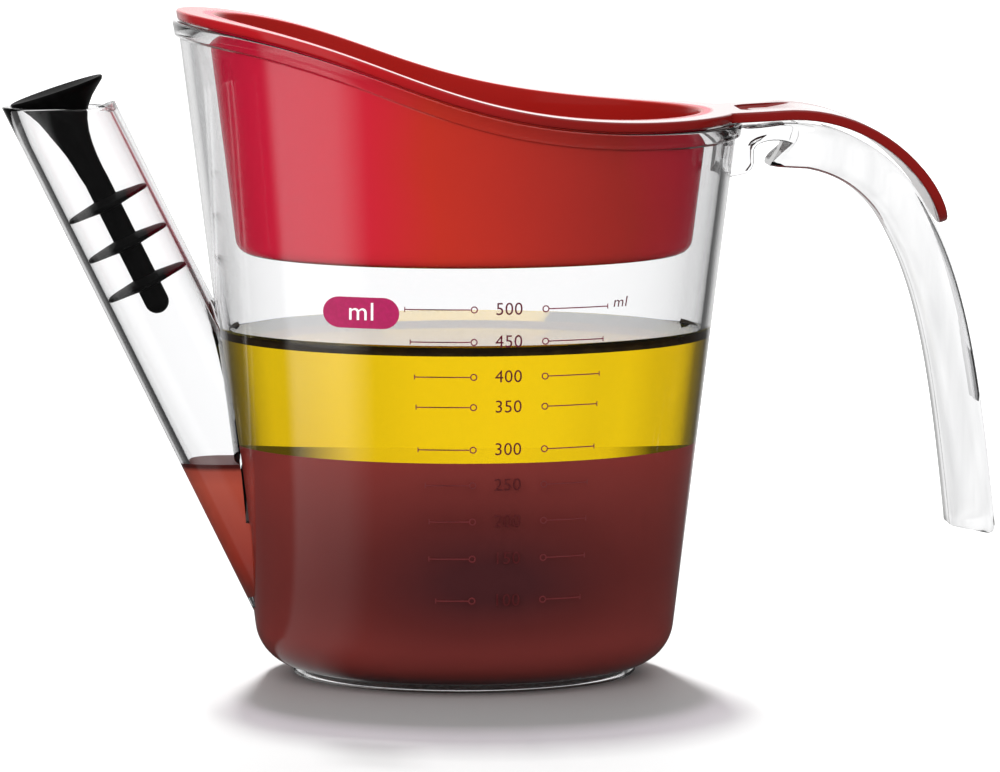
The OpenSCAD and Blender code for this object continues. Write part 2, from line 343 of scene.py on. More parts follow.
def jug_section():
    """Half section of the jug with a level rim, from the middle of its floor round to the foot."""
    inner_r = JUG_CORNER_R - JUG_WALL
    floor_z = FOOT_H + JUG_FLOOR
    corner_z = FOOT_H + JUG_CORNER_R
    corner = Vector((jug_r(corner_z) - JUG_CORNER_R * WALL_STRETCH, corner_z))
    inner = Vector((JUG_BASE_R - WALL_ACROSS + JUG_DRAFT * (floor_z + inner_r)
                    - inner_r * WALL_STRETCH, floor_z + inner_r))
    in_corner = arc(inner, inner_r, -90, -WALL_LEAN, 12)
    out_corner = arc(corner, JUG_CORNER_R, -WALL_LEAN, -90, 14)
    top_in = Vector((jug_r(RIM_LOW) - WALL_ACROSS, RIM_LOW))
    top_out = Vector((jug_r(RIM_LOW) + LIP_OUT, RIM_LOW))
    lip_z = RIM_LOW - LIP_H
    e, f = EDGE_ROUND, FOOT_ROUND
    rim = arc(top_in + Vector((e, -e)), e, 180, 90, 3) + arc(top_out + Vector((-e, -e)), e, 90, 0, 4)
    lip = arc((jug_r(lip_z) + LIP_OUT - e, lip_z + e), e, 0, -90, 4)
    lip_root = [(jug_r(lip_z - 0.1) + 0.25, lip_z - 0.02), (jug_r(lip_z - 0.3), lip_z - 0.3)]
    foot = arc((FOOT_R - f, f), f, 0, -90, 3) + arc((FOOT_R - FOOT_W + f, f), f, -90, -180, 3)
    foot_root = out_corner[-1].y + 0.12
    return [(0, floor_z)] + [(r, floor_z) for r in (10, 20, 28)] + in_corner \
        + between(in_corner[-1], rim[0], 30)[1:] + rim + lip + lip_root \
        + between(lip_root[-1], out_corner[0], 30)[1:] + out_corner[:-1] \
        + [(FOOT_R, foot_root)] + foot + [(FOOT_R - FOOT_W, FOOT_H), (20, FOOT_H), (0, FOOT_H)]


def lift_rim(obj):
    """Raises the level rim to the sweep of the lid line. The wall's slope and the lip's height stay."""
    for v in obj.data.vertices:
        x, y, z = v.co / MM
        r = math.hypot(x, y)
        if z < LIFT_FROM or r < 1:
            continue
        rim_r = r + JUG_DRAFT * (RIM_LOW - z)
        rise = 0.0
        for _ in range(8):
            rise = height_under_lid((rim_r + JUG_DRAFT * rise) * x / r, RIM_DEPTH) - RIM_LOW
        rise *= min(1, (z - LIFT_FROM) / (RIM_LOW - LIP_H - 0.4 - LIFT_FROM))
        grow = 1 + JUG_DRAFT * rise / r
        v.co = Vector((x * grow, y * grow, z + rise)) * MM


def along_spout(obj, down=0.0):
    """Lays a shape drawn on the Z axis along the spout, its zero at a distance down from the mouth."""
    obj.data.transform(Matrix.Translation((-SPOUT_REACH * MM, 0, SPOUT_MOUTH_Z * MM))
                       @ Matrix.Rotation(-SPOUT_TILT, 4, "Y") @ Matrix.Translation((0, 0, -down * MM)))
    return obj


def wall_cone(inset):
    """The space inside a cone that lies within the jug's wall, to cut what is joined to the wall."""
    low, top = -5, RIM_FRONT_Z + 20
    return turned("wall_cone", [(0, low), (jug_r(low) - inset, low), (jug_r(top) - inset, top), (0, top)],
                  JUG_SIDES)


def spout_piece():
    """The tube, level at its mouth and cut off within the jug's wall."""
    outer, e = BORE_R + SPOUT_WALL, MOUTH_ROUND
    section = [(outer, -SPOUT_L)] + [(outer, z) for z in range(-110, 0, 10)] + [(outer, -MOUTH_H)] \
        + arc((outer - e, -e), e, 0, 90, 4) + arc((BORE_R + e, -e), e, 90, 180, 4) \
        + [(BORE_R, z) for z in (-MOUTH_H, *range(-10, -111, -10))] + [(BORE_R, -SPOUT_L)]
    tube = turned("spout", section, SPOUT_SIDES, close=True)
    for v in tube.data.vertices:
        if v.co.z > (1 - MOUTH_H) * MM:
            v.co.z -= v.co.x * math.tan(SPOUT_TILT)
    along_spout(tube)
    return combine(tube, wall_cone(SPOUT_SUNK), "DIFFERENCE")


LEG_HOLD = 0.27
LEG_END_HOLD = 0.5
HANDLE_STEPS = 30


def handle_line():
    """Points of the handle's outer face, from over the strap to the lower end."""
    shoulder_r = TAIL_R - LID_T - HANDLE_GAP
    leg = polar(TAIL_C, shoulder_r, SHOULDER_END)
    end = Vector((HANDLE_REACH, HANDLE_END_Z))
    drop = leg.y - end.y
    leg_ctrl = leg + LEG_HOLD * drop * polar((0, 0), 1, SHOULDER_END - 90)
    end_ctrl = end + LEG_END_HOLD * drop * polar((0, 0), 1, 90 + HANDLE_END_LEAN)
    bow = arc(TAIL_C, shoulder_r, 90, SHOULDER_END, HANDLE_STEPS)[:-1]
    return bow + [bezier(leg, leg_ctrl, end_ctrl, end, i / HANDLE_STEPS) for i in range(HANDLE_STEPS + 1)]


def smoothstep(low, high, value):
    t = max(0.0, min(1.0, (value - low) / (high - low)))
    return t * t * (3 - 2 * t)


GRIP_ROUND = 2.6
GRIP_INNER_ROUND = 3.4
CHANNEL_BANK = (-1.6, 0.4)
SLANT_START = 1.6
SLANT_BACK = 5.4
SLANT_RUN = 5.6
SLANT_STEPS = (0.0, 0.12, 0.3)
SLANT_SHRINK = 0.07
GRIP_FROM = 4.5
CHANNEL_RUN_IN = (6, 20)
CHANNEL_EASE = 5
END_ROUND = ((0.9, 0.985), (1.6, 0.93), (2.0, 0.86), (2.15, 0.72))
END_SLANT = 1.1


def grip_section(channel):
    """The grip's cross-section as (depth, y) points: a rounded bar with a channel along its outer face."""
    half = HANDLE_W / 2
    flat = half - GRIP_ROUND
    inner, inner_flat = GRIP_T - GRIP_INNER_ROUND, half - GRIP_INNER_ROUND
    bank_start, bank_end = (CHANNEL_W / 2 + across for across in CHANNEL_BANK)
    face = []
    for i in range(-6, 7):
        y = i * flat / 6
        face.append((channel * CHANNEL_D * (1 - smoothstep(bank_start, bank_end, abs(y))), y))
    turns = [math.pi / 2 * i / 6 for i in range(7)]
    edge = [(GRIP_ROUND - GRIP_ROUND * math.cos(a), flat + GRIP_ROUND * math.sin(a)) for a in turns[1:]]
    edge += [(GRIP_ROUND + (GRIP_T - GRIP_ROUND - GRIP_INNER_ROUND) * i / 3, half) for i in (1, 2)]
    edge += [(inner + GRIP_INNER_ROUND * math.sin(a), inner_flat + GRIP_INNER_ROUND * math.cos(a))
             for a in turns]
    under = [(GRIP_T, y) for y in (2.8, 1.0, -1.0, -2.8)]
    return face + edge + under + [(depth, -y) for depth, y in reversed(edge)]


def grip_piece():
    """The thick bar of the handle, from the slanted end by the strap to its lower end."""
    outer = handle_line()
    start, end = outer[0], outer[-1]
    ways = [(q - p).normalized() for p, q in zip(outer, outer[1:])]
    ways.append(ways[-1])
    rings = []
    for along in SLANT_STEPS:
        # the slanted end: its underside reaches furthest back, as a hook over the finger room
        share = 1 - SLANT_SHRINK * (1 - along / SLANT_STEPS[-1])
        ring = []
        for depth, y in grip_section(0):
            slope = smoothstep(0.25, 1.0, depth / GRIP_T)
            x = start.x + SLANT_START - SLANT_BACK * slope + (SLANT_RUN * slope + 0.6) * along
            ring.append((x, y * share, start.y - GRIP_T / 2 - (depth - GRIP_T / 2) * share))
        rings.append(ring)
    for here, way in zip(outer, ways):
        if here.x < start.x + GRIP_FROM:
            continue
        channel = smoothstep(start.x + CHANNEL_RUN_IN[0], start.x + CHANNEL_RUN_IN[1], here.x) \
            * smoothstep(CHANNEL_END_Z, CHANNEL_END_Z + CHANNEL_RUN_OUT + CHANNEL_EASE, here.y)
        inward = right_of(way)
        rings.append([(here.x + inward.x * depth, y, here.y + inward.y * depth)
                      for depth, y in grip_section(channel)])
    down, inward = ways[-1], right_of(ways[-1])
    for drop, share in END_ROUND:
        ring = []
        for depth, y in grip_section(0):
            deep = GRIP_T / 2 + (depth - GRIP_T / 2) * share
            lean = 1 - END_SLANT * (depth / GRIP_T - 0.35)
            ring.append((end.x + inward.x * deep + down.x * drop * lean, y * share,
                         end.y + inward.y * deep + down.y * drop * lean))
        rings.append(ring)
    return skin("grip", rings)


STRAP_SUNK = 1.3
STRAP_ROUND = 0.7
NOTCH_H = 2
NOTCH_PAST = 1.8


def strap_piece():
    """The strap over the finger room, and the pad that it meets the wall with."""
    top = TAIL_C.y + TAIL_R - LID_T - HANDLE_GAP
    pad_x = jug_r(top) + PAD_T
    root_top, root_low = top - STRAP_FALL, top - PAD_H
    notch_r = (TAIL_C.x + NOTCH_PAST - pad_x) / 2
    notch = [(pad_x + notch_r * (1 + math.cos(a)), top - STRAP_T - NOTCH_H + NOTCH_H * math.sin(a))
             for a in (math.pi * i / 10 for i in range(2, 11))]
    over = [(jug_r(root_top) - STRAP_SUNK, root_top), (jug_r(root_top) + 3.2, root_top + 0.4),
            (TAIL_C.x - 2, top - 0.12)]
    in_grip = [(TAIL_C.x + 2, top - 0.2), (TAIL_C.x + 5.5, top - 0.9), (TAIL_C.x + 5, top - STRAP_T - 0.4)]
    pad = [(pad_x, root_low + 2.2), (pad_x - 1.1, root_low + 0.7),
           (jug_r(root_low) - STRAP_SUNK, root_low - 0.2)]
    return extrude_outline("strap", over + in_grip + notch + pad, HANDLE_W - 0.6, STRAP_ROUND)


def spout_filling(name, r, low, top, sides, level):
    """A round bar along the spout between two distances from its mouth, cut off level at a height."""
    bar = along_spout(turned(name, [(0, -low), (r, -low), (r, -top), (0, -top)], sides))
    cut_level(bar, level, clear_outer=True)
    return bar


PORT_SPAN = (110.5, 60)


def make_jug():
    jug = turned("clear_jug", jug_section(), JUG_SIDES)
    lift_rim(jug)
    combine(jug, spout_piece(), "UNION")
    handle = combine(grip_piece(), strap_piece(), "UNION")
    combine(jug, handle, "UNION")
    port = spout_filling("port", BORE_R, *PORT_SPAN, SPOUT_SIDES, PORT_TOP_Z)
    combine(jug, port, "DIFFERENCE")
    smooth(jug, 30)
    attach(jug, "jug")
    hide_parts("jug_body", "spout_tube", "handle")
    return jug


jug = make_jug()


# ---- The strainer lid: flange, basket and tail are one even shell ----

BASKET_R = JUG_BASE_R - WALL_ACROSS - BASKET_GAP
BASKET_IN_R = BASKET_R - BASKET_WALL
ROUND = 0.5
ROOT_ANGLE = 17.6
TAIL_COLUMNS = 60
RING_COLUMNS = 170
TAIL_START = lid_under(TAIL_C.x, 0)
TAIL_END = TAIL_START + TAIL_R * math.radians(TAIL_SWEEP)
WALL_STEPS = 12
BAND_STEPS = 16


def on_cone(azimuth, base, depth):
    """Where a cone of the jug's draft meets the lid's band at a depth, as a place (u, y) on the band."""
    r = base + JUG_DRAFT * CREST_Z
    for _ in range(12):
        u = lid_under(r * math.cos(azimuth), depth)
        r = base + JUG_DRAFT * on_lid(u, 0, depth).z
    return Vector((u, r * math.sin(azimuth)))


def tail_side(root, inset):
    """Half outline of the tail laid flat, from where it leaves the flange to its tip."""
    round_start = TAIL_END - TAIL_TIP_R
    root_w, tip_w = TAIL_ROOT_W - inset, TAIL_TIP_R - inset
    return between((root, root_w), (TAIL_START, root_w), 6) \
        + between((TAIL_START, root_w), (round_start, tip_w), 12) + arc((round_start, 0), tip_w, 90, 0, 12)


def flange_turns():
    """Azimuths round the flange, from one side of the tail's root to the other."""
    return [math.radians(ROOT_ANGLE + (360 - 2 * ROOT_ANGLE) * i / RING_COLUMNS)
            for i in range(RING_COLUMNS + 1)]


def lid_outline(inset, depth):
    """The flange's and the tail's outer edge as places (u, y), inset and at a depth."""
    ring = [on_cone(turn, JUG_BASE_R - inset, depth) for turn in flange_turns()]
    side = tail_side(ring[0].x, inset)[1:]
    return ring + [Vector((p.x, -p.y)) for p in side[:-1]] + list(reversed(side))


def azimuths():
    """The azimuth at the basket of each column of the lid, in the order of its outline."""
    return flange_turns() + [math.radians(-ROOT_ANGLE + 2 * ROOT_ANGLE * i / TAIL_COLUMNS)
                             for i in range(1, TAIL_COLUMNS)]


def rounded(turn):
    """How far in and how far down a rounded edge lies, at an angle up from its side."""
    a = math.radians(turn)
    return ROUND * (1 - math.cos(a)), ROUND * (1 - math.sin(a))


def make_lid():
    turns = azimuths()

    def cup(r, z):
        return [Vector((r * math.cos(a), r * math.sin(a), z)) for a in turns]

    def band(places, depth):
        return [on_lid(p.x, p.y, depth) for p in places]

    def wall(base, top, bottom):
        """Rings down a basket wall from the band's places to a level."""
        heights = [p.z for p in top]
        return [[Vector((0, 0, z)) + (base + JUG_DRAFT * z) * Vector((math.cos(a), math.sin(a), 0))
                 for a, z in ((a, h + (bottom - h) * k / WALL_STEPS) for a, h in zip(turns, heights))]
                for k in range(1, WALL_STEPS + 1)]

    def corner(base, z, r):
        """Rings round a basket corner: the wall's end to the floor."""
        centre_r = base + JUG_DRAFT * (z + r) - r * WALL_STRETCH
        return [cup(p.x, p.y) for p in arc((centre_r, z + r), r, -WALL_LEAN, -90, 5)]

    inner_floor, inner_r = BASKET_Z + BASKET_WALL, BASKET_CORNER_R - BASKET_WALL / 2
    hole_edge = [on_cone(a, BASKET_IN_R, ROUND) for a in turns]
    hole_top = [on_cone(a, BASKET_IN_R + ROUND, 0) for a in turns]
    root_edge = [on_cone(a, BASKET_R, LID_T) for a in turns]
    inner_corner = corner(BASKET_IN_R, inner_floor, inner_r)
    inner_wall = wall(BASKET_IN_R, band(hole_edge, ROUND), inner_corner[0][0].z)
    rings = list(reversed(inner_corner)) + list(reversed(inner_wall[:-1])) + [band(hole_edge, ROUND)]
    for turn in (30, 60):
        inset, depth = rounded(turn)
        rings.append(band([on_cone(a, BASKET_IN_R + inset, depth) for a in turns], depth))
    edge = lid_outline(ROUND, 0)
    shares = [i / BAND_STEPS for i in range(1, BAND_STEPS)]
    for k in (0, 0.04, *shares, 0.96):
        rings.append(band([a.lerp(b, k) for a, b in zip(hole_top, edge)], 0))
    for turn in (90, 60, 30, 0):
        inset, depth = rounded(turn)
        rings.append(band(lid_outline(inset, depth), depth))
    for turn in (0, 30, 60, 90):
        inset, depth = rounded(turn)
        rings.append(band(lid_outline(inset, LID_T - depth), LID_T - depth))
    edge = lid_outline(ROUND, LID_T)
    for k in (0.04, *shares, 1):
        rings.append(band([a.lerp(b, k) for a, b in zip(edge, root_edge)], LID_T))
    outer_corner = corner(BASKET_R, BASKET_Z, BASKET_CORNER_R)
    rings += wall(BASKET_R, band(root_edge, LID_T), outer_corner[0][0].z)[:-1] + outer_corner
    lid = skin("strainer_lid_red", rings)
    combine(lid, hole_cutter(), "DIFFERENCE")
    combine(lid, thumb_cutter(), "DIFFERENCE")
    smooth(lid, 35)
    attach(lid, "lid")
    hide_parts("strainer_lid")
    return lid


def hole_cutter():
    """A round pin for each strainer hole, in rows that are shifted by half a step."""
    start_clear()
    bpy.ops.mesh.primitive_cylinder_add(vertices=24, radius=HOLE_D / 2 * MM, depth=4 * MM)
    pin = bpy.context.object
    field = BASKET_IN_R + JUG_DRAFT * BASKET_Z - HOLE_MARGIN
    spots = [(HOLE_PITCH * (col + (0.5 if row % 2 else 0)), HOLE_PITCH * row * math.sin(math.radians(60)))
             for row in range(-8, 9) for col in range(-8, 9)]
    for x, y in spots:
        if math.hypot(x, y) < field:
            copy = pin.copy()
            copy.data = pin.data.copy()
            copy.data.transform(Matrix.Translation(Vector((x, y, BASKET_Z + BASKET_WALL / 2)) * MM))
            bpy.context.collection.objects.link(copy)
            copy.select_set(True)
    pin.select_set(False)
    bpy.context.view_layer.objects.active = bpy.context.selected_objects[0]
    bpy.ops.object.join()
    bpy.data.objects.remove(pin)
    return bpy.context.object


THUMB_L = 14.0
THUMB_W = 10.0
THUMB_DEPTH = 1.2
THUMB_BACK = 0.72
THUMB_CORNER_R = 4.0
THUMB_EDGE_R = 0.5


def steepness(edge):
    """1 on an upright edge, and 0 on a level one."""
    return abs((edge.verts[0].co - edge.verts[1].co).normalized().z)


def thumb_cutter():
    """The dish for the thumb: deepest beside the basket, it runs out along the tail."""
    x, top = TAIL_C.x - THUMB_L * THUMB_BACK, CREST_Z + 3
    outline = [(x, top), (x, CREST_Z - THUMB_DEPTH), (x + THUMB_L * 0.5, CREST_Z - THUMB_DEPTH * 0.75),
               (x + THUMB_L, CREST_Z + 0.25), (x + THUMB_L, top)]
    cutter = extrude_outline("thumb_cutter", outline, 2 * THUMB_W)
    work = bmesh.new()
    work.from_mesh(cutter.data)
    upright = [e for e in work.edges if steepness(e) > 0.99 and e.verts[0].co.x < TAIL_C.x * MM]
    bmesh.ops.bevel(work, geom=upright, offset=THUMB_CORNER_R * MM, segments=8, affect="EDGES", profile=0.5)
    low = [e for e in work.edges if max(v.co.z for v in e.verts) < (CREST_Z + 1) * MM
           and steepness(e) < 0.9 and len(e.link_faces) == 2 and e.calc_face_angle() > 0.8]
    bmesh.ops.bevel(work, geom=low, offset=THUMB_EDGE_R * MM, segments=3, affect="EDGES", profile=0.5)
    work.to_mesh(cutter.data)
    work.free()
    return cutter


lid = make_lid()


# ---- The stopper: a trumpet head on a stem with three fins ----

FIN_START = 22.1
FIN_PITCH = 9.0
FIN_ROOT_T = 2.6
FIN_EDGE_T = 0.8
FIN_COUNT = 3
FIN_SIDES = 72
STEM_R = 2.5
STEM_TAIL = 7.0
HEAD_C = (-83.42, 0, 119.95)
HEAD_LEAN = -18.4
# rings of the flare: middle (x, z), lean in degrees and radius
FLARE = (((-76.55, 103.6), -26, 2.6), ((-77.75, 105.9), -25.5, 2.75), ((-78.95, 108.2), -24.6, 3.05),
         ((-80.15, 110.5), -23.4, 3.6), ((-81.2, 112.8), -22, 4.35), ((-82.1, 115.0), -20.8, 5.5),
         ((-82.7, 116.9), -19.8, 7.0), ((-83.05, 118.45), -18.9, 8.5), ((-83.3, 119.5), HEAD_LEAN, 9.6))
# rings of the head's edge and hollow top: height over its middle and radius
HEAD = ((0.0, 9.83), (0.22, 9.83), (0.42, 9.7), (0.48, 9.45), (0.4, 9.1), (0.1, 7.8), (-0.25, 6.0),
        (-0.5, 4.0), (-0.6, 2.0))


def circle(centre, tilt, r, sides=64):
    """A level ring round centre, turned about Y."""
    turn = Matrix.Rotation(math.radians(tilt), 3, "Y")
    angles = [math.tau * i / sides for i in range(sides)]
    return [Vector(centre) + turn @ Vector((r * math.cos(a), r * math.sin(a), 0)) for a in angles]


def fin_section():
    """Half section of a fin, thick at the stem and round at its rim."""
    r, e, root = BORE_R - 0.02, FIN_EDGE_T / 2, FIN_ROOT_T / 2
    under = [(0, -root), (STEM_R, -root), (STEM_R + 0.5, 0.15 - root), (r - 0.3, -e), (r - 0.08, 0.12 - e)]
    return under + [(r, 0)] + [(x, -z) for x, z in reversed(under)]


def make_stopper():
    down = FIN_START + (FIN_COUNT - 1) * FIN_PITCH + STEM_TAIL
    stem = Matrix.Rotation(-SPOUT_TILT, 3, "Y")
    mouth = Vector((-SPOUT_REACH, 0, SPOUT_MOUTH_Z))
    tilt = -math.degrees(SPOUT_TILT)

    def on_stem(s, r):
        return circle(mouth + stem @ Vector((0, 0, -s)), tilt, r)
    rings = [on_stem(down - STEM_R + STEM_R * math.sin(a), STEM_R * math.cos(a))
             for a in (math.radians(turn) for turn in (82, 70, 56, 42, 28, 14, 0))]
    rings += [on_stem(s, STEM_R) for s in (42, 36, 30, 24, 20, 17)]
    rings += [circle((x, 0, z), lean, r) for (x, z), lean, r in FLARE]
    up = Matrix.Rotation(math.radians(HEAD_LEAN), 3, "Y") @ Vector((0, 0, 1))
    rings += [circle(Vector(HEAD_C) + up * h, HEAD_LEAN, r) for h, r in HEAD]
    stopper = skin("rubber_stopper", rings)
    for i in range(FIN_COUNT):
        fin = turned("fin", fin_section(), FIN_SIDES)
        combine(stopper, along_spout(fin, FIN_START + i * FIN_PITCH), "UNION")
    smooth(stopper, 40)
    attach(stopper, "stopper")
    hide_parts("stopper")
    return stopper


stopper = make_stopper()


# ---- The printed scale, on the wall that faces the camera ----

INK_T = 0.1
NUMBER_X = 5.4
NUMBER_SIZE = 3.55
MARKS_X = (-1.6, 12.8)
LINES_FROM = (-2.36, 13.5)
# number, height, and the outer ends of the lines to its left and right
SCALE = (("500", 79.25, -15.3, 25.6), ("450", 72.7, -14.2, 24.7), ("400", 65.62, -13.3, 24.0),
         ("350", 59.5, -12.95, 23.6), ("300", 50.85, -12.5, 23.1), ("250", 43.6, -11.0, 21.8),
         ("200", 36.2, -10.2, 21.6), ("150", 28.6, -10.2, 21.4), ("100", 20.0, -8.8, 20.6))
BADGE_R = 3.15
BADGE_Z = 78.3
BADGE_ENDS = (-28.0, -19.5)


def wrap(obj, lift=0.04, thick=0.08):
    """Wraps a flat drawing, made in X and Z with Y as its thickness, round the jug's front wall."""
    low = min(v.co.y for v in obj.data.vertices)
    for v in obj.data.vertices:
        x, z = v.co.x / MM, v.co.z / MM
        out = lift + (thick if v.co.y <= low + 1e-7 else 0)
        r = jug_r(z) + out
        v.co = Vector((x, -math.sqrt(r * r - x * x), z)) * MM
    return obj


def slab(name, corners):
    """A flat printed shape with a little thickness."""
    return thicken(draw_line(name, [(x, 0, z) for x, z in corners], close=True), -INK_T)


def strip(x0, x1, z, width=0.22, steps=10):
    xs = [x0 + (x1 - x0) * i / steps for i in range(steps + 1)]
    return slab("line", [(x, z - width / 2) for x in xs] + [(x, z + width / 2) for x in reversed(xs)])


def ring_mark(x, z, r=0.72, width=0.24):
    inner, outer = x + r - width, x + r
    edit(draw_line("ring", [(inner, 0, z), (outer, 0, z), (outer, -INK_T, z), (inner, -INK_T, z)], True))
    bpy.ops.mesh.spin(steps=28, angle=math.tau, center=Vector((x, 0, z)) * MM, axis=(0, 1, 0))
    return close_up(0.002)


def lettering(text, x, z, height, slant=0.0):
    start_clear()
    bpy.ops.object.text_add(location=(0, 0, 0))
    obj = bpy.context.object
    obj.data.body = text
    obj.data.align_x = "CENTER"
    obj.data.align_y = "CENTER"
    obj.data.size = height * MM
    obj.data.shear = slant
    obj.data.space_character = 1.06
    obj.data.resolution_u = 6
    obj.data.extrude = INK_T / 2 * MM
    bpy.ops.object.convert(target="MESH")
    obj = bpy.context.object
    obj.data.transform(Matrix.Translation(Vector((x, 0, z)) * MM) @ Matrix.Rotation(math.pi / 2, 4, "X"))
    edit(obj)
    bpy.ops.mesh.remove_doubles(threshold=MM * 0.001)
    return done()


def join(objs, name):
    start_clear()
    for obj in objs:
        obj.select_set(True)
    bpy.context.view_layer.objects.active = objs[0]
    bpy.ops.object.join()
    objs[0].name = name
    return objs[0]


def make_scale():
    parts = []
    for number, z, left_end, right_end in SCALE:
        parts.append(lettering(number, NUMBER_X, z, NUMBER_SIZE))
        parts += [strip(left_end, LINES_FROM[0], z), strip(LINES_FROM[1], right_end, z, steps=12)]
        parts += [ring_mark(x, z) for x in MARKS_X]
        for x in (left_end, right_end):
            parts.append(slab("tick", [(x + dx, z + dz) for dx, dz in
                                       ((-0.1, -0.5), (0.1, -0.5), (0.1, 0.5), (-0.1, 0.5))]))
    parts.append(lettering("ml", 28.2, 79.9, 3.0, slant=0.15))
    return wrap(join(parts, "measure_print"))


def make_badge():
    """A pill shape, cut into upright bands so that it bends round the wall."""
    (left, right), r, z = BADGE_ENDS, BADGE_R, BADGE_Z
    pill = arc((right, z), r, -90, 90, 14) + between((right, z + r), (left, z + r), 6)[1:] \
        + arc((left, z), r, 90, 270, 14) + between((left, z - r), (right, z - r), 6)[1:]
    badge = slab("unit_badge", pill)
    edit(badge)
    for x, _ in between((left - r, 0), (right + r, 0), 12)[1:]:
        bpy.ops.mesh.select_all(action="SELECT")
        bpy.ops.mesh.bisect(plane_co=(x * MM, 0, 0), plane_no=(1, 0, 0))
    done()
    return wrap(badge)


def make_print():
    scale, badge = make_scale(), make_badge()
    word = wrap(lettering("ml", sum(BADGE_ENDS) / 2, BADGE_Z + 0.1, 5.2), 0.13, 0.05)
    word.name = "unit_word"
    for obj in (scale, badge, word):
        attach(obj, "jug")
    return scale, badge, word


scale, badge, word = make_print()


# ---- Shader tools ----

class Wire:
    """A shader socket that takes part in Python sums."""

    def __init__(self, tree, socket):
        self.tree, self.socket = tree, socket

    def maths(self, operation, *values):
        return node(self.tree, "Math", {"operation": operation}, *values)[0]

    def __add__(self, other):
        return self.maths("ADD", self, other)

    def __sub__(self, other):
        return self.maths("SUBTRACT", self, other)

    def __rsub__(self, other):
        return self.maths("SUBTRACT", other, self)

    def __mul__(self, other):
        return self.maths("MULTIPLY", self, other)

    __radd__, __rmul__ = __add__, __mul__


class Outputs(list):
    """A node's outputs, by number or by name."""

    def named(self, name):
        return next(wire for wire in self if wire.socket.name == name)


def node(tree, kind, settings, *values, **named):
    """Adds a node: its settings first, then the values or wires of its sockets, in order or by name."""
    made = tree.nodes.new("ShaderNode" + kind)
    for key, value in settings.items():
        if key == "stops":
            elements = made.color_ramp.elements
            while len(elements) < len(value):
                elements.new(0.5)
            for element, (position, colour) in zip(elements, value):
                element.position = position
                element.color = (*colour, 1) if isinstance(colour, tuple) else (colour, colour, colour, 1)
        else:
            setattr(made, key, value)
    sockets = [socket for socket in made.inputs if socket.enabled]
    pairs = list(zip(sockets, values))
    for key, value in named.items():
        pairs.append((next(s for s in sockets if s.name == key.replace("_", " ")), value))
    for socket, value in pairs:
        if isinstance(value, Wire):
            tree.links.new(value.socket, socket)
        elif value is not None:
            socket.default_value = (*value, 1) if isinstance(value, tuple) and len(value) == 3 \
                and socket.type == "RGBA" else value
    return Outputs(Wire(tree, socket) for socket in made.outputs if socket.enabled)


def material(name, obj):
    made = bpy.data.materials.new(name)
    made.use_nodes = True
    made.node_tree.nodes.clear()
    obj.data.materials.clear()
    obj.data.materials.append(made)
    return made.node_tree


def finish_with(tree, shader):
    node(tree, "OutputMaterial", {}, Surface=shader)


def places(tree):
    """Object coordinates in millimetres."""
    at = node(tree, "TexCoord", {})[3]
    return node(tree, "Mapping", {}, at, Scale=(1 / MM,) * 3)[0]


def axes(tree, vector):
    """The x, y and z of a vector."""
    return node(tree, "SeparateXYZ", {}, vector)


def noise(tree, at, scale, detail=2.0, rough=0.5):
    return node(tree, "TexNoise", {}, at, Scale=scale, Detail=detail, Roughness=rough)[0]


def ramp(tree, value, *stops):
    return node(tree, "ValToRGB", {"stops": stops}, value)[0]


def blend(tree, factor, low, high):
    """From one colour to another, by a factor from 0 to 1."""
    return node(tree, "Mix", {"data_type": "RGBA"}, factor, low, high)[0]


def bumps(tree, height, strength, distance):
    return node(tree, "Bump", {}, Strength=strength, Distance=distance, Height=height)[0]


def principled(tree, colour, **sockets):
    return node(tree, "BsdfPrincipled", {}, Base_Color=colour, **sockets)[0]


def see_through(tree, colour):
    return node(tree, "BsdfTransparent", {}, colour)[0]


def glow(tree, colour):
    """Light of its own, at a strength of 1."""
    return node(tree, "Emission", {}, colour, 1.0)[0]


def mixed(tree, factor, low, high):
    """From one shader to another, by a factor from 0 to 1."""
    return node(tree, "MixShader", {}, factor, low, high)[0]


def light_paths(tree):
    return node(tree, "LightPath", {})


def over(paths, count):
    """1 on a path that has met that kind of surface."""
    depth = paths.named(count)
    return depth.maths("GREATER_THAN", depth, 0.5)


# ---- The finishes ----

# A ramp reads from 0 to 1, so lengths across the object and up it are divided by these.
ACROSS = 120
UP = 100
INK_OVER_GRAVY = (0.13, 0.014, 0.016)


def clear_plastic(obj):
    """Clear moulded plastic with soft waves, and drawn streaks with a little grey in the handle."""
    tree = material("clear_moulded_plastic", obj)
    at = places(tree)
    drawn = node(tree, "Mapping", {}, at, Scale=(1.0, 1.0, 0.12))[0]
    thick = ramp(tree, noise(tree, drawn, 0.3), (0.35, (0.82, 0.822, 0.828)),
                 (0.6, (0.93, 0.931, 0.934)))
    in_handle = ramp(tree, axes(tree, at)[0] * (1 / ACROSS), (0.55, 0.0), (0.63, 1.0))
    colour = blend(tree, in_handle, (0.965, 0.966, 0.97), thick)
    smear, wave = noise(tree, at, 0.09, 3.0), noise(tree, at, 0.05, 1.0)
    plastic = principled(tree, colour, Roughness=smear * 0.01, IOR=1.45, Transmission_Weight=1.0,
                         Normal=bumps(tree, wave, 0.04, 0.0006))
    shadow = light_paths(tree).named("Is Shadow Ray")
    finish_with(tree, mixed(tree, shadow, plastic, see_through(tree, (0.988, 0.988, 0.989))))


